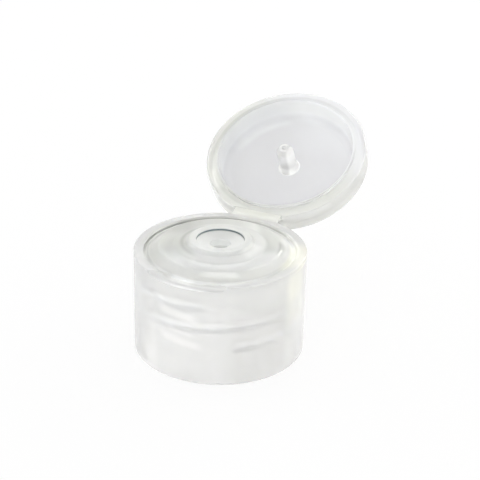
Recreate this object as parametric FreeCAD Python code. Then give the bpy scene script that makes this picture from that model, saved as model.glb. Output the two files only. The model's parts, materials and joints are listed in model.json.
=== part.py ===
import FreeCAD, Part

import math
import os

# A snap-top dispensing cap with a living hinge, standing open on its skirt.
# Millimetres. Origin on the skirt's axis in its bottom plane, +Z up, hinge towards +Y.

V = FreeCAD.Vector

# Skirt and neck thread
OUTER_R = 12.0
BODY_H = 14.8
SKIRT_FOOT_ROUND = 0.3
SHOULDER_ROUND = 0.2
SKIRT_WALL = 1.9
NECK_LAND_RELIEF = 0.3
NECK_LAND_H = 3.2
NECK_TAPER_H = 0.5
THREAD_DEPTH = 0.95
THREAD_PITCH = 3.175
THREAD_TURNS = 1.94
THREAD_LEAD_H = 1.5
THREAD_START_DEG = -55.0
THREAD_ROOT_W = 1.9
THREAD_CREST_W = 0.9
THREAD_BITE = 0.3

# Shoulder, deck and dispensing nozzle
SHOULDER_W = 1.4
GROOVE_W = 0.45
GROOVE_DEPTH = 0.45
DECK_WALL = 0.95
DECK_SLOPE_W = 1.65
DECK_RIM_RISE = 0.6
DECK_RIM_ROUND = 0.9
DECK_CROWN = 0.1
FLANK_R = 6.5
FLANK_RISE = 0.35
FLANK_ROUND = 0.8
NOZZLE_R = 4.35
NOZZLE_RISE = 0.85
NOZZLE_DRAFT = 0.35
NOZZLE_FOOT_ROUND = 0.45
NOZZLE_LIP_W = 1.0
NOZZLE_LIP_ROUND = 0.22
DISH_DEPTH = 0.45
DISH_FALL = 0.35
ORIFICE_R = 1.4
PLUG_SEAL_R = 7.2
PLUG_SEAL_WALL = 0.75
PLUG_SEAL_H = 1.7
PLUG_SEAL_LEAD = 0.3

# Thumb notch in the front of the shoulder
NOTCH_W = 12.4
NOTCH_DEPTH = 0.75
NOTCH_FALL = 0.12
NOTCH_REACH = 2.3
NOTCH_END_ROUND = 1.1
NOTCH_ARC_R = 1.6

# Lid
LID_PROUD = 0.1
LID_H = 4.1
LID_TOP_ROUND = 1.5
LID_CROWN = 0.2
LID_ROOF = 0.85
LID_BORE_DRAFT = 0.2
LID_CEILING_ROUND = 1.3
LID_LIP_W = 0.3
LID_LIP_DEPTH = 0.4
LID_LIP_CLEAR = 0.1
LID_GAP = 0.2
PIN_CLEAR = 0.15
PIN_FOOT_R = 1.55
PIN_FOOT_H = 0.9
PIN_FOOT_ROUND = 0.8
PIN_REACH = 0.9
PIN_TIP_R = 0.75
PIN_TIP_H = 0.8
PIN_TIP_ROUND = 0.2
PIN_EYE_R = 0.35
PIN_EYE_DEPTH = 0.6

# Living hinge
OPEN_DEG = 150.4
HINGE_OUTSET = 0.12
HINGE_W = 7.2
FILM_T = 0.35
FILM_HALF = 0.8
POCKET_SIDE = 0.25
POCKET_DROP = 0.45

# Sizes that follow from those above
THREAD_ROOT_R = OUTER_R - SKIRT_WALL
NECK_LAND_R = THREAD_ROOT_R + NECK_LAND_RELIEF
THREAD_START_Z = NECK_LAND_H + NECK_TAPER_H + THREAD_LEAD_H
STEP_R = OUTER_R - SHOULDER_W
GROOVE_R = STEP_R - GROOVE_W
GROOVE_Z = BODY_H - GROOVE_DEPTH
DECK_RIM_R = GROOVE_R - DECK_SLOPE_W
DECK_RIM_Z = BODY_H + DECK_RIM_RISE
DECK_Z = DECK_RIM_Z + DECK_CROWN
LIP_Z = DECK_Z + NOZZLE_RISE
DISH_R = NOZZLE_R - NOZZLE_LIP_W
DISH_Z = LIP_Z - DISH_DEPTH
ORIFICE_Z = DISH_Z - DISH_FALL
ROOF_Z = DECK_Z - DECK_WALL
OUTER_ROOF_Z = GROOVE_Z - DECK_WALL
LID_R = OUTER_R + LID_PROUD
LID_RIM_Z = BODY_H + LID_GAP
LID_BORE_R = STEP_R - LID_LIP_CLEAR - LID_LIP_W
LID_CEILING_R = LID_BORE_R - LID_BORE_DRAFT
LID_CEILING_H = LID_H - LID_ROOF
PIN_R = ORIFICE_R - PIN_CLEAR
PIN_TIP_Z = ORIFICE_Z - PIN_REACH - PIN_TIP_H - LID_RIM_Z
HINGE_Y = OUTER_R + HINGE_OUTSET
HINGE_Z = BODY_H + LID_GAP / 2
FILM_ROOT_Y = HINGE_Y - FILM_HALF
POCKET_H = FILM_T + POCKET_DROP
BEND_DEG = 180.0 - OPEN_DEG
TURN = 360.0

# How far a cutter runs past the surface it opens, and how near two points count as one
CUT_MARGIN = 1.0
SAME = 1e-6


def corner_arc(before, corner, after, radius):
    """The tangent arc that rounds one corner of an outline, as its start, middle and end."""
    back = (before - corner).normalize()
    on = (after - corner).normalize()
    half = back.getAngle(on) / 2
    reach = radius / math.tan(half)
    middle = (back + on).normalize()
    centre = corner + middle * (radius / math.sin(half))
    return corner + back * reach, centre - middle * radius, corner + on * reach


def outline(corners):
    """A closed wire in the XZ plane through (r, z, round) corners."""
    points = [V(c[0], 0, c[1]) for c in corners]
    edges = []
    stops = []
    for i, corner in enumerate(corners):
        if corner[2] > 0:
            arc = corner_arc(points[i - 1], points[i], points[(i + 1) % len(points)], corner[2])
            edges.append(Part.Arc(*arc).toShape())
            stops.append((arc[0], arc[2]))
        else:
            stops.append((points[i], points[i]))
    for i, stop in enumerate(stops):
        start, end = stop[1], stops[(i + 1) % len(stops)][0]
        if start.distanceToPoint(end) > SAME:
            edges.append(Part.makeLine(start, end))
    return Part.Wire(Part.__sortEdges__(edges))


def turned(corners):
    """A solid of revolution about Z with this half section."""
    return Part.Face(outline(corners)).revolve(V(0, 0, 0), V(0, 0, 1), TURN)


def body_shell():
    """Skirt, shoulder, deck, nozzle and plug seal in one turned section."""
    plug_z = OUTER_ROOF_Z - PLUG_SEAL_H
    plug_bore = PLUG_SEAL_R - PLUG_SEAL_WALL
    return turned([
        (NECK_LAND_R, 0, 0),
        (OUTER_R, 0, SKIRT_FOOT_ROUND),
        (OUTER_R, BODY_H, SHOULDER_ROUND),
        (STEP_R, BODY_H, SHOULDER_ROUND / 2),
        (STEP_R, GROOVE_Z, GROOVE_W / 4),
        (GROOVE_R, GROOVE_Z, GROOVE_W / 4),
        (DECK_RIM_R, DECK_RIM_Z, DECK_RIM_ROUND),
        (FLANK_R, DECK_Z, FLANK_ROUND),
        (NOZZLE_R + NOZZLE_DRAFT, DECK_Z + FLANK_RISE, NOZZLE_FOOT_ROUND),
        (NOZZLE_R, LIP_Z, NOZZLE_LIP_ROUND),
        (DISH_R, LIP_Z, NOZZLE_LIP_ROUND / 2),
        (DISH_R, DISH_Z, NOZZLE_LIP_ROUND / 2),
        (ORIFICE_R, ORIFICE_Z, NOZZLE_LIP_ROUND / 2),
        (ORIFICE_R, ROOF_Z, 0),
        (plug_bore, ROOF_Z, DECK_WALL / 4),
        (plug_bore, plug_z, 0),
        (PLUG_SEAL_R - PLUG_SEAL_LEAD, plug_z, 0),
        (PLUG_SEAL_R, plug_z + PLUG_SEAL_LEAD, 0),
        (PLUG_SEAL_R, OUTER_ROOF_Z, PLUG_SEAL_LEAD),
        (THREAD_ROOT_R, OUTER_ROOF_Z, PLUG_SEAL_LEAD),
        (THREAD_ROOT_R, NECK_LAND_H + NECK_TAPER_H, 0),
        (NECK_LAND_R, NECK_LAND_H, 0),
    ])


def neck_thread():
    """The raised right-hand thread inside the skirt, a trapezium swept along a helix."""
    rise = THREAD_PITCH * THREAD_TURNS
    helix = Part.makeHelix(THREAD_PITCH, rise, THREAD_ROOT_R)
    crest = THREAD_ROOT_R - THREAD_DEPTH
    back = THREAD_ROOT_R + THREAD_BITE
    flank = (THREAD_ROOT_W - THREAD_CREST_W) / 2 / THREAD_DEPTH
    crest_half = THREAD_CREST_W / 2
    back_half = crest_half + flank * (back - crest)
    section = Part.makePolygon([
        V(back, 0, -back_half), V(crest, 0, -crest_half),
        V(crest, 0, crest_half), V(back, 0, back_half), V(back, 0, -back_half)])
    ridge = Part.Wire(helix.Edges).makePipeShell([section], True, True)
    ridge.rotate(V(0, 0, 0), V(0, 0, 1), THREAD_START_DEG)
    ridge.translate(V(0, 0, THREAD_START_Z))
    return ridge


def thumb_notch():
    """The cutter for the shallow notch that bares the lid's front edge."""
    floor_z = BODY_H - NOTCH_DEPTH
    back_y = -(OUTER_R - NOTCH_REACH)
    front_y = -(OUTER_R + CUT_MARGIN)
    top_z = BODY_H + NOTCH_ARC_R + CUT_MARGIN
    heel = V(0, back_y - NOTCH_ARC_R, floor_z + NOTCH_FALL)
    sag = NOTCH_ARC_R * (1 - math.sqrt(0.5))
    bend = V(0, back_y - sag, floor_z + NOTCH_FALL + sag)
    rim = V(0, back_y, floor_z + NOTCH_FALL + NOTCH_ARC_R)
    front, over, top = V(0, front_y, floor_z), V(0, front_y, top_z), V(0, back_y, top_z)
    section = Part.Wire([
        Part.makeLine(front, heel), Part.Arc(heel, bend, rim).toShape(), Part.makeLine(rim, top),
        Part.makeLine(top, over), Part.makeLine(over, front)])
    block = Part.Face(section).extrude(V(NOTCH_W, 0, 0))
    block.translate(V(-NOTCH_W / 2, 0, 0))
    ends = [e for e in block.Edges if is_notch_end(e, front, heel)]
    return block.makeFillet(NOTCH_END_ROUND, ends)


def is_notch_end(edge, front, heel):
    """True for the two floor edges at the sides of the thumb notch."""
    if len(edge.Vertexes) < 2:
        return False
    a, b = edge.Vertexes[0].Point, edge.Vertexes[1].Point
    low, high = sorted([a.y, b.y])
    flat = abs(a.x - b.x) < SAME and max(a.z, b.z) < heel.z + SAME
    return flat and abs(low - front.y) < SAME and abs(high - heel.y) < SAME


def hinge_pocket(low_z):
    """The flat land at the hinge, cut into the outside of a rim."""
    width = HINGE_W + 2 * POCKET_SIDE
    return Part.makeBox(width, OUTER_R, POCKET_H, V(-width / 2, FILM_ROOT_Y, low_z))


def cap_body():
    """The threaded body of the cap."""
    shell = body_shell().fuse(neck_thread())
    return shell.cut([thumb_notch(), hinge_pocket(BODY_H - POCKET_H)]).Solids[0]


def lid_shell():
    """The shallow lid, turned about its own axis with its rim at z = 0."""
    lip_r = LID_BORE_R + LID_LIP_W
    return turned([
        (lip_r, -LID_LIP_DEPTH, 0),
        (lip_r, 0, 0),
        (LID_R, 0, SHOULDER_ROUND),
        (LID_R, LID_H, LID_TOP_ROUND),
        (0, LID_H + LID_CROWN, 0),
        (0, LID_CEILING_H + LID_CROWN / 2, 0),
        (LID_CEILING_R, LID_CEILING_H, LID_CEILING_ROUND),
        (LID_BORE_R, -LID_LIP_DEPTH, 0),
    ])


def plug_pin():
    """The pin under the lid that closes the orifice, flared where it leaves the ceiling."""
    top = LID_CEILING_H + LID_CROWN
    return turned([
        (0, top, 0),
        (PIN_FOOT_R, top, 0),
        (PIN_FOOT_R, LID_CEILING_H, 0),
        (PIN_R, LID_CEILING_H - PIN_FOOT_H, PIN_FOOT_ROUND),
        (PIN_R, PIN_TIP_Z + PIN_TIP_H, PIN_TIP_ROUND),
        (PIN_TIP_R, PIN_TIP_Z, PIN_TIP_ROUND),
        (PIN_EYE_R, PIN_TIP_Z, 0),
        (0, PIN_TIP_Z + PIN_EYE_DEPTH, 0),
    ])


def opened(shape):
    """Turn a closed lid shape about the hinge line to the open pose."""
    shape.rotate(V(0, HINGE_Y, HINGE_Z), V(1, 0, 0), -OPEN_DEG)
    return shape


def flip_lid():
    """The lid with its pin, opened about the hinge."""
    lid = lid_shell().fuse(plug_pin())
    lid.translate(V(0, 0, LID_RIM_Z))
    return opened(lid.cut(hinge_pocket(LID_RIM_Z)))


def living_hinge():
    """The thin film between the two hinge lands, bent round as the open lid leaves it."""
    root = V(0, FILM_ROOT_Y, BODY_H - FILM_T / 2)
    far = V(0, 2 * HINGE_Y - FILM_ROOT_Y, BODY_H - FILM_T / 2)
    turn = FreeCAD.Rotation(V(1, 0, 0), BEND_DEG)
    end = V(0, HINGE_Y, HINGE_Z) + turn.multVec(far - V(0, HINGE_Y, HINGE_Z))
    radius = (end - root).Length / 2 / math.sin(math.radians(BEND_DEG / 2))
    section = Part.makePolygon([
        root + V(-HINGE_W / 2, 0, -FILM_T / 2), root + V(HINGE_W / 2, 0, -FILM_T / 2),
        root + V(HINGE_W / 2, 0, FILM_T / 2), root + V(-HINGE_W / 2, 0, FILM_T / 2),
        root + V(-HINGE_W / 2, 0, -FILM_T / 2)])
    return Part.Face(section).revolve(root + V(0, 0, radius), V(1, 0, 0), BEND_DEG)


def main():
    os.makedirs("parts", exist_ok=True)
    for name, shape in (("cap_body", cap_body()), ("flip_lid", flip_lid()), ("living_hinge", living_hinge())):
        box = shape.BoundBox
        print(name, "valid", shape.isValid(), "solids", len(shape.Solids), "volume", round(shape.Volume, 2),
              "box", [round(v, 2) for v in (box.XMin, box.YMin, box.ZMin, box.XMax, box.YMax, box.ZMax)])
        shape.exportStep(f"parts/{name}.step")


main()
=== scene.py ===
"""A snap-top dispensing cap in natural polypropylene, standing open on a white table."""

import json
import math
from functools import reduce
from operator import add, mul

import bmesh
import bpy
from bpy.props import FloatProperty, FloatVectorProperty, PointerProperty
from mathutils import Euler, Matrix, Vector


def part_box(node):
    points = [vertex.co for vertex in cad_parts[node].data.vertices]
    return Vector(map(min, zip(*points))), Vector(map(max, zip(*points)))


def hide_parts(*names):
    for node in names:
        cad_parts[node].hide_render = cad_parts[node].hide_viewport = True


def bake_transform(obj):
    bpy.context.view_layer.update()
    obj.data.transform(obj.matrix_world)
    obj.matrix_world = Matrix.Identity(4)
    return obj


bl_info = {
    "name": "Flip Top Cap",
    "version": (1, 0, 0),
    "blender": (4, 5, 0),
    "location": "View3D > Sidebar > Cap",
    "description": "Dresses a hinged dispensing cap in milky plastic and sets it on a white table",
    "category": "Object",
}

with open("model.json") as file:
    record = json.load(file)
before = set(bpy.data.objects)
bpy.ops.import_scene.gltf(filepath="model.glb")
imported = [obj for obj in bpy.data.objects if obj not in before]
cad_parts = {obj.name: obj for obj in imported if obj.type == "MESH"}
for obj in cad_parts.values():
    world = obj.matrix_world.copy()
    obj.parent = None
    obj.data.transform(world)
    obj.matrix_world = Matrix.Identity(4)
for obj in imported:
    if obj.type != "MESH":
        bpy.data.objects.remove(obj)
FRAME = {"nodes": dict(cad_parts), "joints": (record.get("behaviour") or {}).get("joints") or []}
HINGE = FRAME["joints"][0]
HINGE_PIVOT = Vector(HINGE["pos_m"])
FILM_LOW, FILM_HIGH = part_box("living_hinge")
MM = 0.001
BLACK = (0.0, 0.0, 0.0)
WHITE = (1.0, 1.0, 1.0, 1.0)

# The cap's brighter side, counted from its x axis.
BRIGHT_SIDE = math.radians(24.8)
# How far a line of light on the skirt falls in one radian.
LINE_FALL = 1.7 * MM
# Half of the soft edge of the light in the hollow and the dish, and of the smallest shades.
EDGE = 0.05 * MM
FINE_EDGE = 0.04 * MM
# How much of the groove's shade the bright side loses.
BRIGHT_GROOVE = 0.75
# How far back the lit part of the lid's rim reaches for each step to the right.
FREE_END_SLANT = 0.6
# Shares of the rim's light on the lid's outside, and on top of that at its free end.
RIM_SHARE = 0.7
FREE_END_SHARE = 2.5
# How much of the wall's light the ceiling of the lid loses.
CEILING_LOSS = 0.45

# Waves for each metre of the plastic's skin, its grain, its clouds and the film's stretch marks.
WAVE_SCALE = 260.0
GRAIN_SCALE = 2600.0
CLOUD_SCALE = 140.0
STRETCH_SCALE = 900.0
# How much of the skin's height is grain, and how far clouds and stretch marks change it.
GRAIN_SHARE = 0.2
CLOUD_SHARE = 0.12
CLOUD_ROUGHNESS = 0.08
STRETCH_SHARE = 0.3
STRETCH_ROUGHNESS = 0.2

# Half of the gap that the shut lid keeps over the shoulder.
HALF_SHUT_GAP = 0.1 * MM
# The film's mesh: steps along it and round each edge, and the most that an edge is rounded.
FILM_STEPS = 20
EDGE_STEPS = 4
MOST_ROUND = 0.95

# The table: half its width, its colour, and how much of its white is free of shadow.
TABLE_HALF_WIDTH = 0.6
TABLE_COLOR = (0.9, 0.9, 0.9, 1.0)
TABLE_WHITE_SHARE = 0.88
# Each lamp's name, the setting with its power, its size in metres, its angle round from the
# camera, its rise, both in degrees, and its colour.
LAMPS = (
    ("back_lamp", "back_power", 0.07, 156, 28, (1.0, 0.99, 0.95)),
    ("right_lamp", "right_power", 0.30, 112, 12, (1.0, 0.97, 0.88)),
    ("side_lamp", "side_power", 0.30, -110, 6, (1.0, 1.0, 1.0)),
)
LAMP_TARGET = Vector((0.0, 8.0 * MM, 14.0 * MM))
LAMP_DISTANCE = 0.45
# The camera's small turn away from the middle of the skirt's mouth, in radians.
CAMERA_AIM = Euler((-0.07256, 0.01396, -0.01489), "XYZ")


class CapSizes(bpy.types.PropertyGroup):
    """Sizes of what shows through the plastic and of the film at the hinge."""

    thread_pitch: FloatProperty(
        name="Thread pitch", description="Rise of the neck thread in one turn",
        default=0.003175, unit="LENGTH", precision=6)
    thread_start: FloatProperty(
        name="Thread start", description="Height of the thread's lower end",
        default=0.0052, unit="LENGTH", precision=5)
    thread_azimuth: FloatProperty(
        name="Thread azimuth", description="Where the thread's lower end lies round the neck",
        default=math.radians(-55.0), subtype="ANGLE")
    crest_radius: FloatProperty(
        name="Thread crest", description="Radius of the thread's crest inside the neck",
        default=0.00915, unit="LENGTH", precision=5)
    hollow_radius: FloatProperty(
        name="Hollow", description="Radius of the hollow under the deck",
        default=0.0104, unit="LENGTH", precision=5)
    hollow_height: FloatProperty(
        name="Hollow height", description="Height of the hollow's roof under the deck",
        default=0.01455, unit="LENGTH", precision=5)
    groove_radius: FloatProperty(
        name="Groove", description="Radius of the groove's outer wall, where the lid's lip drops in",
        default=0.0106, unit="LENGTH", precision=5)
    groove_width: FloatProperty(
        name="Groove width", description="Width and depth of that groove",
        default=0.00045, unit="LENGTH", precision=5)
    rim_height: FloatProperty(
        name="Shoulder height", description="Height of the flat shoulder that the lid closes on",
        default=0.0148, unit="LENGTH", precision=5)
    dish_radius: FloatProperty(
        name="Dish", description="Radius of the dish in the nozzle's top",
        default=0.00335, unit="LENGTH", precision=5)
    dish_floor: FloatProperty(
        name="Dish floor", description="Height of the foot of the dish's wall",
        default=0.0159, unit="LENGTH", precision=5)
    lip_height: FloatProperty(
        name="Nozzle lip", description="Height of the nozzle's lip",
        default=0.01635, unit="LENGTH", precision=5)
    orifice_radius: FloatProperty(
        name="Orifice", description="Radius of the hole that the pin plugs",
        default=0.0014, unit="LENGTH", precision=5)
    lid_hollow_radius: FloatProperty(
        name="Lid hollow", description="Radius of the lid's hollow",
        default=0.0101, unit="LENGTH", precision=5)
    lid_rim_height: FloatProperty(
        name="Lid rim", description="Height of the lid's rim when it is shut",
        default=0.0150, unit="LENGTH", precision=5)
    lid_ceiling: FloatProperty(
        name="Lid ceiling", description="Depth of the lid's hollow from its rim",
        default=0.00325, unit="LENGTH", precision=5)
    pin_radius: FloatProperty(
        name="Pin foot", description="Radius of the foot of the pin in the lid",
        default=0.00155, unit="LENGTH", precision=5)
    film_waist: FloatProperty(
        name="Film waist", description="Thickness of the film along its fold, as a share of its edge",
        default=0.62, subtype="FACTOR", min=0.2, max=1.0)
    film_round: FloatProperty(
        name="Film edge round", description="Rounding of the film's four long edges",
        default=0.00008, unit="LENGTH", precision=5)


class PlasticLook(bpy.types.PropertyGroup):
    """Colours and gloss of the milky plastic, and the colours and strengths of its painted light and
    painted shade.
    """

    skirt_color: FloatVectorProperty(
        name="Skirt", description="Colour of the outer wall",
        subtype="COLOR", size=3, min=0, max=1, default=(1.0, 0.985, 0.98))
    deck_color: FloatVectorProperty(
        name="Deck", description="Colour of the deck and shoulder, where the wall is thin",
        subtype="COLOR", size=3, min=0, max=1, default=(0.97, 0.975, 0.93))
    # Painted shade: the ceiling of the lid's hollow takes this darker, bluish colour.
    shaded_ceiling_color: FloatVectorProperty(
        name="Lid ceiling", description="Colour of the ceiling of the lid's hollow",
        subtype="COLOR", size=3, min=0, max=1, default=(0.77, 0.77, 0.825))
    wall_color: FloatVectorProperty(
        name="Lid wall", description="Colour of the wall round the lid's hollow",
        subtype="COLOR", size=3, min=0, max=1, default=(0.89, 0.90, 0.96))
    rim_color: FloatVectorProperty(
        name="Lid rim", description="Colour of the lid's rim and outside",
        subtype="COLOR", size=3, min=0, max=1, default=(0.92, 0.93, 0.87))
    pin_color: FloatVectorProperty(
        name="Pin", description="Colour of the pin",
        subtype="COLOR", size=3, min=0, max=1, default=(0.97, 0.97, 0.955))
    cloud_color: FloatVectorProperty(
        name="Clouds", description="Colour of the faint clouds in the plastic",
        subtype="COLOR", size=3, min=0, max=1, default=(0.82, 0.81, 0.80))
    dish_color: FloatVectorProperty(
        name="Dish", description="Colour of the light in the dish and the hollow",
        subtype="COLOR", size=3, min=0, max=1, default=(0.93, 0.97, 1.0))
    cool_color: FloatVectorProperty(
        name="Cool deck", description="Colour of the deck's front",
        subtype="COLOR", size=3, min=0, max=1, default=(0.95, 0.97, 0.99))
    warm_color: FloatVectorProperty(
        name="Warm light", description="Colour of the light on the cap's bright side",
        subtype="COLOR", size=3, min=0, max=1, default=(1.0, 0.99, 0.45))
    # Painted shade: the dish's wall and the groove's wall are darkened with these colours and shares.
    shade_color: FloatVectorProperty(
        name="Dish wall", description="Colour of the dish's small wall, in shade",
        subtype="COLOR", size=3, min=0, max=1, default=(0.05, 0.09, 0.11))
    # Painted shade: the groove's wall and every shade patch on the body and the lid darken towards this
    # colour.
    painted_shade_color: FloatVectorProperty(
        name="Groove wall", description="Colour of the groove's outer wall, in shade",
        subtype="COLOR", size=3, min=0, max=1, default=(0.22, 0.23, 0.21))
    dish_shade: FloatProperty(
        name="Dish shade", description="How dark the dish's wall is",
        default=1.0, subtype="FACTOR", min=0, max=1)
    groove_shade: FloatProperty(
        name="Groove shade", description="How dark the groove's outer wall is",
        default=0.75, subtype="FACTOR", min=0, max=1)
    # Painted light: these strengths drive emission that stands for light let through, gathered or glinting
    # in the plastic.
    inner_light: FloatProperty(
        name="Inner light", description="Light that the milky walls let into the closed hollow",
        default=0.06, subtype="FACTOR", min=0, max=1)
    crest_light: FloatProperty(
        name="Crest light", description="Light that the thread's crest carries",
        default=0.07, subtype="FACTOR", min=0, max=1)
    streak_light: FloatProperty(
        name="Streak light",
        description="How much brighter the crest is where light gathers beside the notch",
        default=1.0, min=0, max=5)
    dish_light: FloatProperty(
        name="Dish light", description="Light that the thin floor of the dish lets through",
        default=0.08, subtype="FACTOR", min=0, max=1)
    deck_light: FloatProperty(
        name="Deck light", description="Light that comes up through the thin deck",
        default=0.05, subtype="FACTOR", min=0, max=1)
    orifice_light: FloatProperty(
        name="Orifice light", description="Light that the thin wall round the hole lets through",
        default=0.09, subtype="FACTOR", min=0, max=1)
    rim_light: FloatProperty(
        name="Rim light", description="Light that the lid's wall carries to its rim",
        default=0.025, subtype="FACTOR", min=0, max=1)
    lip_light: FloatProperty(
        name="Lip light", description="Light that the thin lip under the lid's rim lets through",
        default=0.02, subtype="FACTOR", min=0, max=1)
    wall_light: FloatProperty(
        name="Lid wall light", description="Light that comes through the wall of the lid",
        default=0.06, subtype="FACTOR", min=0, max=1)
    pin_light: FloatProperty(
        name="Pin light", description="Light that the pin carries to its tip",
        default=0.05, subtype="FACTOR", min=0, max=1)
    film_light: FloatProperty(
        name="Film light", description="Light that comes through the thin film",
        default=0.16, subtype="FACTOR", min=0, max=1)
    gloss: FloatProperty(
        name="Roughness", description="Roughness of the moulded surface",
        default=0.08, subtype="FACTOR", min=0, max=1)


class StudioLook(bpy.types.PropertyGroup):
    """Camera and light of the white studio."""

    camera_turn: FloatProperty(
        name="Camera turn", description="How far the camera stands round from the thumb notch",
        default=math.radians(24.8), subtype="ANGLE")
    camera_rise: FloatProperty(
        name="Camera rise", description="Height of the camera above the table, as an angle",
        default=math.radians(29.71), subtype="ANGLE")
    camera_distance: FloatProperty(
        name="Camera distance", description="From the camera to the middle of the skirt's mouth",
        default=0.20028, unit="LENGTH", precision=5)
    camera_lens: FloatProperty(
        name="Lens", description="Focal length on a 36 mm sensor", default=105.0)
    back_power: FloatProperty(
        name="Back lamp", description="Power of the soft lamp behind the cap on the camera's right",
        default=0.095, unit="POWER")
    right_power: FloatProperty(
        name="Right lamp", description="Power of the soft lamp on the camera's right",
        default=0.48, unit="POWER")
    side_power: FloatProperty(
        name="Side lamp", description="Power of the soft lamp on the camera's left",
        default=0.45, unit="POWER")
    sky_level: FloatProperty(
        name="Sky", description="Level of the even light from all round", default=1.0)


class Value:
    """A shader socket with arithmetic: each operator on it adds one Math node."""

    def __init__(self, graph, socket):
        self.graph = graph
        self.socket = socket

    def math(self, operation, *others):
        """One Math node with this value first."""
        values = dict(enumerate((self,) + others))
        return self.graph.node("ShaderNodeMath", {"operation": operation}, values)

    def __add__(self, other):
        return self.math("ADD", other)

    __radd__ = __add__

    def __sub__(self, other):
        return self.math("SUBTRACT", other)

    def __rsub__(self, other):
        return self.graph.node("ShaderNodeMath", {"operation": "SUBTRACT"}, {0: other, 1: self})

    def __mul__(self, other):
        return self.math("MULTIPLY", other)

    __rmul__ = __mul__

    def __truediv__(self, other):
        return self.math("DIVIDE", other)


class Graph:
    """The node tree of one material or world."""

    def __init__(self, owner):
        owner.use_nodes = True
        self.tree = owner.node_tree
        self.tree.nodes.clear()

    def node(self, kind, settings=None, values=None, output=0):
        """Adds a node, sets it up, links or fills its sockets, and gives one of its outputs."""
        node = self.tree.nodes.new(kind)
        for name, setting in (settings or {}).items():
            setattr(node, name, setting)
        for name, value in (values or {}).items():
            if isinstance(value, Value):
                self.tree.links.new(value.socket, node.inputs[name])
            else:
                node.inputs[name].default_value = value
        return Value(self, node.outputs[output]) if node.outputs else node

    def step(self, value, low, high):
        """0 below low, 1 above high, smooth between."""
        return self.node("ShaderNodeMapRange", {"interpolation_type": "SMOOTHSTEP", "clamp": True},
                         {"Value": value, "From Min": low, "From Max": high})

    def mix(self, share, first, second):
        """A colour between two colours."""
        return self.node("ShaderNodeMix", {"data_type": "RGBA"},
                         {0: share, 6: as_color(first), 7: as_color(second)}, output=2)


def as_color(value):
    """A colour with its alpha, or the socket that carries one."""
    return value if isinstance(value, Value) else (*value[:3], 1.0)


class Place:
    """Where a point lies on the shut cap, in the cap's own frame, as shader values."""

    def __init__(self, graph, shutting=0.0):
        self.graph = graph
        self.point = graph.node("ShaderNodeTexCoord", output="Object")
        parts = graph.node("ShaderNodeSeparateXYZ", values={0: self.point})
        self.x, y, z = (Value(graph, output) for output in parts.socket.node.outputs)
        if shutting:
            out, up = y - HINGE_PIVOT.y, z - HINGE_PIVOT.z
            y = out * math.cos(shutting) - up * math.sin(shutting) + HINGE_PIVOT.y
            z = out * math.sin(shutting) + up * math.cos(shutting) + HINGE_PIVOT.z
        self.y, self.z = y, z
        self.across = self.x * math.cos(BRIGHT_SIDE) + self.y * math.sin(BRIGHT_SIDE)
        self.away = self.y * math.cos(BRIGHT_SIDE) - self.x * math.sin(BRIGHT_SIDE)
        self.radius = (self.x * self.x + self.y * self.y).math("SQRT")
        self.turn = self.y.math("ARCTAN2", self.x)
        self.lean = self.z + (self.turn + math.pi / 2) * LINE_FALL

    def zone(self, **ranges):
        """1 inside all of the named ranges (low, high, half of the soft edge), 0 outside."""
        parts = []
        for name, (low, high, soft) in ranges.items():
            value = getattr(self, name)
            if low is not None:
                parts.append(self.graph.step(value, low - soft, low + soft))
            if high is not None:
                parts.append(1 - self.graph.step(value, high - soft, high + soft))
        return reduce(mul, parts)

    def patches(self, table):
        """The sum of a table of patches, each one's strength times its zone."""
        return reduce(add, (self.zone(**ranges) * strength for strength, ranges in table))

    def noise(self, scale, detail):
        """Noise fixed to the plastic, in waves for each metre."""
        values = {"Vector": self.point, "Scale": scale, "Detail": detail}
        return self.graph.node("ShaderNodeTexNoise", values=values)


def patch(strength, surface=None, **ranges):
    """A patch of painted light or painted shade: its strength and its zone on a surface, in mm and
    radians.
    """
    zone = {}
    for name, limits in {**(surface or {}), **ranges}.items():
        unit = 1.0 if name == "turn" else MM
        zone[name] = tuple(None if limit is None else limit * unit for limit in limits)
    return strength, zone


# Surfaces of the shut cap that several patches lie on, in millimetres.
SKIRT = {"radius": (11.7, None, 0.1)}
SHOULDER = {"z": (14.6, None, 0.1)}
GROOVE = {"z": (14.1, None, 0.1)}
GROOVE_WALL = {"radius": (10.3, 10.8, 0.1), "z": (14.2, None, 0.1)}
DECK = {"z": (14.6, None, 0.2)}
DECK_TOP = {"z": (15.0, None, 0.1)}
LID_SIDE = {"radius": (11.2, None, 0.1)}
PIN = {"radius": (None, 1.7, 0.1)}

# Painted light on the body: emission patches where light gathers, glints and lines of light lie.
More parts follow.
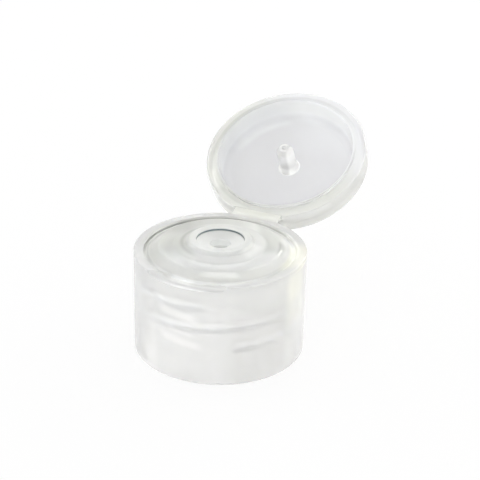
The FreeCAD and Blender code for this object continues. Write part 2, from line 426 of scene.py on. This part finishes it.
BODY_LIGHTS = (
    # The deck's front, at the foot of the nozzle.
    patch(0.04, DECK_TOP, radius=(4.8, 6.2, 0.3), away=(None, -3.5, 1.2)),
    # The nozzle's foot on the bright side.
    patch(0.08, DECK_TOP, radius=(4.4, 5.8, 0.4), turn=(-0.45, 0.25, 0.12)),
    # The shoulder at the back.
    patch(0.10, SHOULDER, radius=(10.7, 12.3, 0.1), across=(-6.0, 8.5, 1.5), away=(4.5, None, 2.0)),
    # The deck's edge on the bright side.
    patch(0.05, SHOULDER, radius=(8.4, 10.3, 0.2), across=(3.0, None, 1.0), away=(None, -1.0, 1.0)),
    # The groove at the front, and a glint in it.
    patch(0.08, GROOVE, radius=(9.9, 10.7, 0.1), away=(None, -8.0, 1.0)),
    patch(0.05, GROOVE, radius=(9.9, 10.7, 0.1), turn=(-2.15, -1.90, 0.06)),
    # The groove's wall on the bright side and behind it.
    patch(0.10, GROOVE_WALL, across=(7.0, None, 1.0), away=(0.0, 5.5, 1.0)),
    patch(0.08, GROOVE_WALL, across=(3.0, 7.0, 1.0), away=(3.0, None, 1.0)),
    # The deck's slope and the groove on the bright side, towards the hinge.
    patch(0.06, GROOVE, radius=(8.8, 10.7, 0.3), turn=(0.12, 0.75, 0.10)),
    patch(0.07, GROOVE, radius=(9.7, 11.0, 0.2), turn=(0.16, 0.66, 0.08)),
    # The curved back of the thumb notch.
    patch(0.09, GROOVE, radius=(9.7, 11.0, 0.2), turn=(-1.82, -1.50, 0.06)),
    # The skirt's dark side, and more low down.
    patch(0.035, SKIRT, across=(-11.2, -8.6, 0.6), z=(None, 11.8, 1.2)),
    patch(0.03, SKIRT, across=(-11.0, -8.2, 0.6), z=(None, 5.0, 2.5)),
    # The skirt's bright side, and more low down.
    patch(0.03, SKIRT, across=(9.4, None, 1.0), z=(0.5, 14.6, 0.2)),
    patch(0.02, SKIRT, across=(9.4, None, 1.0), z=(0.5, 8.0, 1.0)),
    # The skirt's foot on the dark side.
    patch(0.02, SKIRT, across=(-8.0, 3.0, 2.0), z=(None, 4.5, 2.0)),
    # The flank under the thread's turns.
    patch(0.15, radius=(9.1, 9.95, 0.05), over=(-1.5, -0.3, 0.1), z=(None, 12.8, 0.3)),
    # The light lines that the thread throws on the wall beside the notch.
    patch(0.09, SKIRT, turn=(-1.87, -1.40, 0.08), lean=(9.5, 10.6, 0.4)),
    patch(0.05, SKIRT, turn=(-1.75, -1.45, 0.06), lean=(7.3, 7.8, 0.2)),
    patch(0.08, SKIRT, turn=(-1.84, -1.36, 0.08), lean=(5.6, 6.6, 0.4)),
)
# Painted warm light on the body's bright side: emission patches tinted warm.
BODY_WARM_LIGHTS = (
    # The deck's foot, the groove and the shoulder on the bright side.
    patch(0.12, radius=(9.6, 12.1, 0.3), across=(7.8, None, 1.2), away=(-5.5, 1.2, 1.5),
          z=(14.2, None, 0.1)),
    # The skirt under that shoulder.
    patch(0.05, SKIRT, turn=(-0.26, 0.10, 0.08), z=(7.0, 14.5, 2.0)),
    patch(0.04, SKIRT, turn=(-0.26, 0.04, 0.08), z=(10.5, 14.7, 1.2)),
)
BODY_COOL = (
    # The front of the deck and of the nozzle.
    patch(0.6, DECK_TOP, radius=(3.0, 8.5, 1.0), away=(None, -1.0, 2.0)),
)
# Painted shade on the body: patches that darken the colour towards the painted shade colour.
BODY_SHADES = (
    # The deck's dark half, and its back.
    patch(0.41, DECK, radius=(5.0, 10.1, 0.4), across=(None, -2.5, 2.5), away=(-3.0, None, 3.5)),
    patch(0.22, DECK, radius=(5.0, 10.1, 0.4), across=(None, -0.3, 2.5), away=(3.5, None, 1.5)),
    patch(0.30, DECK, radius=(6.4, 10.1, 0.4), across=(-2.0, 4.0, 2.0), away=(5.0, None, 1.0)),
    # The nozzle's foot on the dark side.
    patch(0.27, DECK, radius=(4.2, 5.6, 0.3), across=(None, -3.6, 0.8)),
    # The deck's top on the bright side, and its edge there.
    patch(0.36, DECK, radius=(6.3, 8.5, 0.3), across=(5.4, None, 0.8), away=(-2.5, None, 1.2)),
    patch(0.35, DECK, radius=(8.1, 8.9, 0.3), turn=(0.08, 0.52, 0.10)),
    # The nozzle's top, away from its dark side.
    patch(0.20, radius=(3.6, 5.0, 0.3), across=(-2.0, None, 1.0), z=(15.8, None, 0.1)),
    # The deck's front slope, and the deck beside the nozzle.
    patch(0.10, DECK, radius=(6.2, 10.1, 0.3), across=(-4.0, 6.0, 1.5), away=(None, -5.0, 1.5)),
    patch(0.10, DECK, radius=(6.0, 8.0, 0.6), turn=(-2.55, -2.05, 0.15)),
    # The groove's inner wall on the dark side, and its outer wall at the back.
    patch(0.35, radius=(9.9, 10.4, 0.1), turn=(-2.97, -2.30, 0.12), z=(14.2, 15.0, 0.2)),
    patch(0.55, radius=(10.4, 10.7, 0.05), across=(-7.5, 2.0, 2.0), away=(2.0, None, 2.0),
          z=(14.3, 14.8, 0.05)),
    # The foot of the skirt on the bright side.
    patch(0.19, SKIRT, across=(1.0, 9.8, 1.8), z=(None, 11.5, 2.0)),
)
# Painted light on the lid: emission patches on its rim and outside.
LID_LIGHTS = (
    # The rim's dark side, and the outside beside the hinge.
    patch(0.06, LID_SIDE, x=(None, -8.0, 1.2), y=(-4.0, None, 3.0)),
    patch(0.13, radius=(11.7, None, 0.1), y=(2.0, None, 2.5), z=(16.6, None, 0.6)),
    # The rim beside the hinge's dark end.
    patch(0.07, radius=(10.7, 11.8, 0.1), turn=(2.30, 2.62, 0.06), z=(None, 15.4, 0.2)),
    # The outside at the free end.
    patch(0.07, LID_SIDE, y=(None, -5.0, 2.5)),
)
# Painted highlight on the pin's flank and painted light at its foot.
LID_PIN_LIGHTS = (
    # The pin's bright flank, and its foot on the dark side.
    patch(0.14, PIN, x=(0.6, None, 0.2)),
    patch(0.10, PIN, x=(None, -0.7, 0.2), z=(15.8, 18.2, 0.2)),
)
# Painted bluish light in the lid's hollow: emission patches.
LID_BLUE_LIGHTS = (
    # The hollow's wall and the ceiling towards the free end.
    patch(0.03, radius=(9.0, 10.4, 0.6), x=(-3.0, 6.5, 2.0), y=(None, -6.8, 1.4)),
    patch(0.04, radius=(9.2, 10.1, 0.4), x=(-2.5, 2.5, 1.5), y=(None, -8.4, 0.8)),
    patch(0.04, radius=(8.4, 10.2, 0.6), x=(-9.8, -3.0, 1.2), y=(-9.5, -2.0, 1.5)),
    patch(0.035, radius=(None, 9.3, 0.6), x=(-1.0, None, 4.0), y=(None, -4.5, 3.0)),
)
# Painted shade on the lid's lip.
LID_SHADES = (
    # The lip beside the hinge, on both sides of it.
    patch(0.20, radius=(10.2, 11.2, 0.2), x=(-9.0, -1.0, 1.0), y=(5.0, None, 2.0)),
    patch(0.12, radius=(10.4, 11.9, 0.2), x=(4.0, None, 2.0), y=(0.5, None, 2.0)),
    # The lip on the dark side.
    patch(0.12, radius=(9.8, 11.2, 0.2), x=(None, -4.5, 1.5), y=(None, 3.0, 2.0)),
)


def moulded_bump(place):
    """The faint waviness of a moulded skin, with finer grain on it."""
    height = place.noise(WAVE_SCALE, 1.0) * (1 - GRAIN_SHARE) + place.noise(GRAIN_SCALE, 2.0) * GRAIN_SHARE
    return place.graph.node("ShaderNodeBump", values={
        "Strength": 0.35, "Distance": 0.05 * MM, "Height": height})


def over_thread(place, sizes):
    """Height of a point over the middle of the nearest turn of the neck thread."""
    lift = (place.z - sizes.thread_start) / sizes.thread_pitch
    turn = place.turn / math.tau - sizes.thread_azimuth / math.tau
    return ((lift - turn + 0.5).math("FRACT") - 0.5) * sizes.thread_pitch


def milky_shader(place, color, roughness, glow):
    """The surface shader that all of the plastic shares."""
    shader = place.graph.node("ShaderNodeBsdfPrincipled", {"subsurface_method": "RANDOM_WALK"}, {
        "Base Color": color, "Roughness": roughness, "Normal": moulded_bump(place),
        "IOR": 1.49, "Subsurface Weight": 1.0, "Subsurface Radius": (1.0, 1.0, 0.95),
        "Subsurface Scale": 4.0 * MM, "Transmission Weight": 0.55,
        "Sheen Weight": 0.4, "Sheen Roughness": 0.3,
        "Emission Color": glow, "Emission Strength": 1.0})
    place.graph.node("ShaderNodeOutputMaterial", values={"Surface": shader})


def cloudy(place, look, color):
    """(colour with the faint clouds of moulded polypropylene, its roughness)."""
    cloud = place.noise(CLOUD_SCALE, 3.0)
    share = place.graph.step(cloud, 0.35, 0.75) * CLOUD_SHARE
    return place.graph.mix(share, color, look.cloud_color), look.gloss + cloud * CLOUD_ROUGHNESS


def body_glow(place, sizes, look):
    """Painted light (emission) in the hollow, on the thread's crest, in the dish, round the hole and on
    the deck, standing for the light that the milky walls carry there.
    """
    graph, roof = place.graph, sizes.hollow_height
    hollow = place.zone(radius=(None, sizes.hollow_radius + EDGE, EDGE), z=(None, roof, EDGE))
    crest = place.zone(
        radius=(sizes.crest_radius - 4 * EDGE, sizes.crest_radius + 4 * EDGE, EDGE),
        over=(None, 0.175 * MM, 0.075 * MM), z=(None, roof - 1.75 * MM, 0.25 * MM))
    # Painted highlight: the crest is brighter beside the notch.
    streak = place.zone(turn=(math.radians(-115), math.radians(-90), math.radians(10)))
    crest = crest * (1 + streak * look.streak_light)
    dish = place.zone(radius=(None, sizes.dish_radius - 2 * EDGE, EDGE),
                      z=(roof, sizes.dish_floor + EDGE, EDGE))
    orifice = place.zone(radius=(None, sizes.orifice_radius + 2 * EDGE, EDGE),
                         z=(roof - EDGE, sizes.dish_floor - 8 * EDGE, EDGE))
    deck = place.zone(radius=(sizes.dish_radius, sizes.groove_radius - sizes.groove_width, 2 * EDGE),
                      z=(sizes.rim_height - 4 * EDGE, None, 4 * EDGE))
    light = (hollow * look.inner_light + crest * look.crest_light + dish * look.dish_light
             + orifice * look.orifice_light + deck * look.deck_light + place.patches(BODY_LIGHTS))
    tint = graph.mix(hollow.math("MAXIMUM", dish), look.deck_color, look.dish_color)
    glow = graph.mix(light, BLACK, tint)
    return graph.mix(place.patches(BODY_WARM_LIGHTS), glow, look.warm_color)


def shaded_groove(place, sizes):
    """1 on the groove's outer wall where it lies in shade, less on the bright side."""
    foot = sizes.rim_height - sizes.groove_width
    wall = place.zone(
        radius=(sizes.groove_radius - 7 * FINE_EDGE, sizes.groove_radius + FINE_EDGE, FINE_EDGE),
        y=(-4.5 * MM, None, 2.5 * MM), z=(foot - 2 * FINE_EDGE, None, FINE_EDGE))
    low = place.zone(z=(None, foot + 5 * FINE_EDGE, 3 * FINE_EDGE))
    bright = place.zone(x=(3.0 * MM, None, 6.0 * MM))
    return wall * low * (1 - BRIGHT_GROOVE * bright)


def body_plastic(context):
    """The material of the body: skirt, deck and nozzle, with painted shade on their small walls and in
    patches, and painted light from body_glow.
    """
    sizes, look = context.scene.cap_sizes, context.scene.cap_plastic
    material = bpy.data.materials.new("body_plastic")
    graph = Graph(material)
    place = Place(graph)
    place.over = over_thread(place, sizes)
    skirt = place.zone(radius=(11.2 * MM, None, 0.6 * MM))
    color, roughness = cloudy(place, look, graph.mix(skirt, look.deck_color, look.skirt_color))
    color = graph.mix(place.patches(BODY_COOL), color, look.cool_color)
    # Painted shade: the shade patches, the groove's wall and the dish's wall darken the colour.
    color = graph.mix(place.patches(BODY_SHADES), color, look.painted_shade_color)
    color = graph.mix(shaded_groove(place, sizes) * look.groove_shade, color, look.painted_shade_color)
    wall = place.zone(
        radius=(sizes.dish_radius - 2 * FINE_EDGE, sizes.dish_radius + 2 * FINE_EDGE, FINE_EDGE),
        z=(sizes.dish_floor + FINE_EDGE, sizes.lip_height - 4 * FINE_EDGE, FINE_EDGE))
    color = graph.mix(wall * look.dish_shade, color, look.shade_color)
    milky_shader(place, color, roughness, body_glow(place, sizes, look))
    return material


def lid_plastic(context):
    """The material of the lid and its pin: a bluish hollow in a greenish rim, with painted shade on the
    ceiling and the lip, and painted light on the rim, the wall, the pin and in the hollow.
    """
    sizes, look = context.scene.cap_sizes, context.scene.cap_plastic
    material = bpy.data.materials.new("lid_plastic")
    graph = Graph(material)
    place = Place(graph, math.radians(-HINGE["range_deg"][0]))
    place.depth = place.z - sizes.lid_rim_height
    place.slant = place.y - place.x * FREE_END_SLANT
    ceiling = sizes.lid_ceiling
    inside = place.zone(radius=(None, sizes.lid_hollow_radius + 0.2 * MM, 0.3 * MM),
                        depth=(None, ceiling + 0.2 * MM, 0.1 * MM))
    floor = inside * place.zone(depth=(ceiling - 0.75 * MM, None, 0.45 * MM))
    pin = inside * place.zone(radius=(None, sizes.pin_radius + EDGE, EDGE))
    free_end = place.zone(slant=(None, -5.0 * MM, 6.0 * MM), depth=(None, 0.2 * MM, 0.1 * MM))
    lip = place.zone(depth=(None, -0.08 * MM, 0.04 * MM), x=(0.5 * MM, None, 3.5 * MM))
    bright = place.zone(x=(2.5 * MM, None, 6.5 * MM))

    color = graph.mix(free_end, look.rim_color, look.wall_color)
    color = graph.mix(inside, color, look.wall_color)
    # Painted shade: the hollow's ceiling is darkened.
    color = graph.mix(floor, color, look.shaded_ceiling_color)
    color = graph.mix(pin, color, look.pin_color)
    # Painted shade on the lip.
    color = graph.mix(place.patches(LID_SHADES), color, look.painted_shade_color)
    color, roughness = cloudy(place, look, color)

    # Painted light (emission) on the rim, the lip, the wall and the pin, and painted bluish light in the
    # hollow.
    outside = (1 - inside) * (RIM_SHARE + FREE_END_SHARE * free_end)
    wall = (inside - CEILING_LOSS * floor) * bright
    light = (pin * look.pin_light + outside * look.rim_light + lip * look.lip_light
             + wall * look.wall_light + place.patches(LID_LIGHTS)
             + inside * place.patches(LID_PIN_LIGHTS))
    glow = graph.mix(light, BLACK, color)
    glow = graph.mix(place.patches(LID_BLUE_LIGHTS), glow, look.dish_color)
    milky_shader(place, color, roughness, glow)
    return material


def film_plastic(context):
    """The material of the film, whose painted light (emission) makes it brighter than the walls."""
    look = context.scene.cap_plastic
    material = bpy.data.materials.new("film_plastic")
    graph = Graph(material)
    place = Place(graph)
    stretch = place.noise(STRETCH_SCALE, 2.0)
    share = graph.step(stretch, 0.4, 0.7) * STRETCH_SHARE
    color = graph.mix(share, look.rim_color, look.cloud_color)
    # Painted light: the film glows brighter than the walls.
    glow = graph.mix(look.film_light, BLACK, color)
    milky_shader(place, color, look.gloss + stretch * STRETCH_ROUGHNESS, glow)
    return material


def dress(node, material):
    """Gives a CAD node its material."""
    node.data.materials.clear()
    node.data.materials.append(material)


class CAP_OT_dress_body(bpy.types.Operator):
    """Give the threaded body its milky plastic"""

    bl_idname = "cap.dress_body"
    bl_label = "Dress Body"

    def execute(self, context):
        dress(FRAME["nodes"]["cap_body"], body_plastic(context))
        return {"FINISHED"}


class CAP_OT_dress_lid(bpy.types.Operator):
    """Give the lid and its pin their milky plastic"""

    bl_idname = "cap.dress_lid"
    bl_label = "Dress Lid"

    def execute(self, context):
        dress(FRAME["nodes"]["flip_lid"], lid_plastic(context))
        return {"FINISHED"}


def film_section(sizes, thickness, width):
    """Points round the film's section, across (x) and through (z), with rounded edges."""
    half_w, half_t = width / 2, thickness / 2
    ball = min(sizes.film_round, half_t * MOST_ROUND)
    points = []
    for side_x, side_z, start in ((1, -1, -90), (1, 1, 0), (-1, 1, 90), (-1, -1, 180)):
        for step in range(EDGE_STEPS + 1):
            angle = math.radians(start + 90 / EDGE_STEPS * step)
            points.append((side_x * (half_w - ball) + ball * math.cos(angle),
                           side_z * (half_t - ball) + ball * math.sin(angle)))
    return points


def film_mesh(sizes):
    """(the film as a swept strip that is thin along its fold, the two ends of its middle line)."""
    bend = math.radians(HINGE["range_deg"][1])
    width = FILM_HIGH.x - FILM_LOW.x
    edge_thickness = HINGE_PIVOT.z - HALF_SHUT_GAP - FILM_LOW.z
    root = Vector((0, FILM_LOW.y, FILM_LOW.z + edge_thickness / 2))
    far = Vector((0, 2 * HINGE_PIVOT.y - FILM_LOW.y, root.z))
    end = HINGE_PIVOT + Matrix.Rotation(bend, 3, "X") @ (far - HINGE_PIVOT)
    radius = (end - root).length / 2 / math.sin(bend / 2)
    mesh = bmesh.new()
    rings = []
    for step in range(FILM_STEPS + 1):
        share = step / FILM_STEPS
        angle = bend * share
        middle = root + Vector((0, radius * math.sin(angle), radius * (1 - math.cos(angle))))
        up = Vector((0, -math.sin(angle), math.cos(angle)))
        thickness = edge_thickness * (1 - (1 - sizes.film_waist) * math.sin(math.pi * share) ** 2)
        rings.append([mesh.verts.new(middle + Vector((x, 0, 0)) + up * z)
                      for x, z in film_section(sizes, thickness, width)])
    for near, off in zip(rings, rings[1:]):
        for i in range(len(near)):
            j = (i + 1) % len(near)
            mesh.faces.new((near[i], near[j], off[j], off[i]))
    mesh.faces.new(list(reversed(rings[0])))
    mesh.faces.new(rings[-1])
    bmesh.ops.recalc_face_normals(mesh, faces=mesh.faces)
    data = bpy.data.meshes.new("hinge_film")
    mesh.to_mesh(data)
    mesh.free()
    data.shade_smooth()
    return data, root, end


class CAP_OT_add_film(bpy.types.Operator):
    """Add the living hinge's film, built as a bent strip"""

    bl_idname = "cap.add_film"
    bl_label = "Add Hinge Film"

    def execute(self, context):
        data, root, end = film_mesh(context.scene.cap_sizes)
        film = bpy.data.objects.new("hinge_film", data)
        context.scene.collection.objects.link(film)
        data.materials.append(film_plastic(context))
        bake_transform(film)
        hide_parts("living_hinge")
        return {"FINISHED"}


def add_lamp(context, name, power, size, azimuth, rise, color):
    """A square soft lamp that faces the cap, placed round from the camera."""
    light = bpy.data.lights.new(name, "AREA")
    light.energy = power
    light.size = size
    light.color = color
    lamp = bpy.data.objects.new(name, light)
    context.scene.collection.objects.link(lamp)
    angle = math.radians(azimuth) + context.scene.cap_studio.camera_turn - math.pi / 2
    high = math.radians(rise)
    offset = Vector((math.cos(high) * math.cos(angle), math.cos(high) * math.sin(angle), math.sin(high)))
    lamp.location = LAMP_TARGET + offset * LAMP_DISTANCE
    lamp.rotation_euler = offset.to_track_quat("Z", "Y").to_euler()


def seen_by_eye(graph):
    """1 for a ray that shows its target to the camera, straight or through or off the plastic."""
    outputs = graph.node("ShaderNodeLightPath").socket.node.outputs
    camera, glossy, through = (Value(graph, outputs[name]) for name in (
        "Is Camera Ray", "Is Glossy Ray", "Is Transmission Ray"))
    return camera.math("MAXIMUM", glossy).math("MAXIMUM", through)


def add_table(context):
    """A white table top, which shows white to the camera and keeps the cap's soft shadow."""
    mesh = bmesh.new()
    bmesh.ops.create_grid(mesh, x_segments=1, y_segments=1, size=TABLE_HALF_WIDTH)
    data = bpy.data.meshes.new("table_top")
    mesh.to_mesh(data)
    mesh.free()
    table = bpy.data.objects.new("table_top", data)
    context.scene.collection.objects.link(table)
    material = bpy.data.materials.new("white_table")
    graph = Graph(material)
    white = graph.node("ShaderNodeEmission", values={"Color": WHITE, "Strength": 1.0})
    matt = graph.node("ShaderNodeBsdfDiffuse", values={"Color": TABLE_COLOR})
    shown = seen_by_eye(graph) * TABLE_WHITE_SHARE
    both = graph.node("ShaderNodeMixShader", values={0: shown, 1: matt, 2: white})
    graph.node("ShaderNodeOutputMaterial", values={"Surface": both})
    data.materials.append(material)


def light_sky(context):
    """An even white sky: plain light on the cap, and white where the camera or a reflection sees it."""
    world = bpy.data.worlds.new("white_sky")
    context.scene.world = world
    graph = Graph(world)
    sky_level = context.scene.cap_studio.sky_level
    level = seen_by_eye(graph) * (1 - sky_level) + sky_level
    sky = graph.node("ShaderNodeBackground", values={"Color": WHITE, "Strength": level})
    graph.node("ShaderNodeOutputWorld", values={"Surface": sky})


def add_camera(context):
    """The camera at the cap's main view."""
    studio = context.scene.cap_studio
    data = bpy.data.cameras.new("camera")
    data.lens = studio.camera_lens
    data.sensor_width = 36.0
    data.sensor_fit = "HORIZONTAL"
    data.clip_start = 0.01
    camera = bpy.data.objects.new("camera", data)
    context.scene.collection.objects.link(camera)
    turn = Matrix.Rotation(studio.camera_turn, 3, "Z")
    rise = studio.camera_rise
    back = Vector((0, -math.cos(rise), math.sin(rise)))
    level = Matrix(((1, 0, 0), (0, math.sin(rise), math.cos(rise)), back)).transposed()
    place = (turn @ level @ CAMERA_AIM.to_matrix().transposed()).to_4x4()
    place.translation = turn @ back * studio.camera_distance
    camera.matrix_world = place
    context.scene.camera = camera


class CAP_OT_set_stage(bpy.types.Operator):
    """Set up the white table, the sky, the lamps and the camera"""

    bl_idname = "cap.set_stage"
    bl_label = "Set Stage"

    def execute(self, context):
        context.scene.view_settings.view_transform = "Standard"
        add_table(context)
        light_sky(context)
        for name, power, *rest in LAMPS:
            add_lamp(context, name, getattr(context.scene.cap_studio, power), *rest)
        add_camera(context)
        return {"FINISHED"}


STEPS = (CAP_OT_dress_body, CAP_OT_dress_lid, CAP_OT_add_film, CAP_OT_set_stage)


class CAP_PT_panel(bpy.types.Panel):
    """The cap's panel in the sidebar"""

    bl_idname = "CAP_PT_panel"
    bl_label = "Flip Top Cap"
    bl_space_type = "VIEW_3D"
    bl_region_type = "UI"
    bl_category = "Cap"

    def draw(self, context):
        for step in STEPS:
            self.layout.operator(step.bl_idname)
        for group in (context.scene.cap_sizes, context.scene.cap_plastic, context.scene.cap_studio):
            box = self.layout.box()
            for name in group.__annotations__:
                box.prop(group, name)


CLASSES = (CapSizes, PlasticLook, StudioLook, *STEPS, CAP_PT_panel)


def register():
    for item in CLASSES:
        bpy.utils.register_class(item)
    bpy.types.Scene.cap_sizes = PointerProperty(type=CapSizes)
    bpy.types.Scene.cap_plastic = PointerProperty(type=PlasticLook)
    bpy.types.Scene.cap_studio = PointerProperty(type=StudioLook)


def unregister():
    del bpy.types.Scene.cap_studio
    del bpy.types.Scene.cap_plastic
    del bpy.types.Scene.cap_sizes
    for item in reversed(CLASSES):
        bpy.utils.unregister_class(item)


def main():
    """Build everything in order."""
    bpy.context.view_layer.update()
    register()
    bpy.ops.cap.dress_body()
    bpy.ops.cap.dress_lid()
    bpy.ops.cap.add_film()
    bpy.ops.cap.set_stage()


if __name__ == "__main__":
    main()
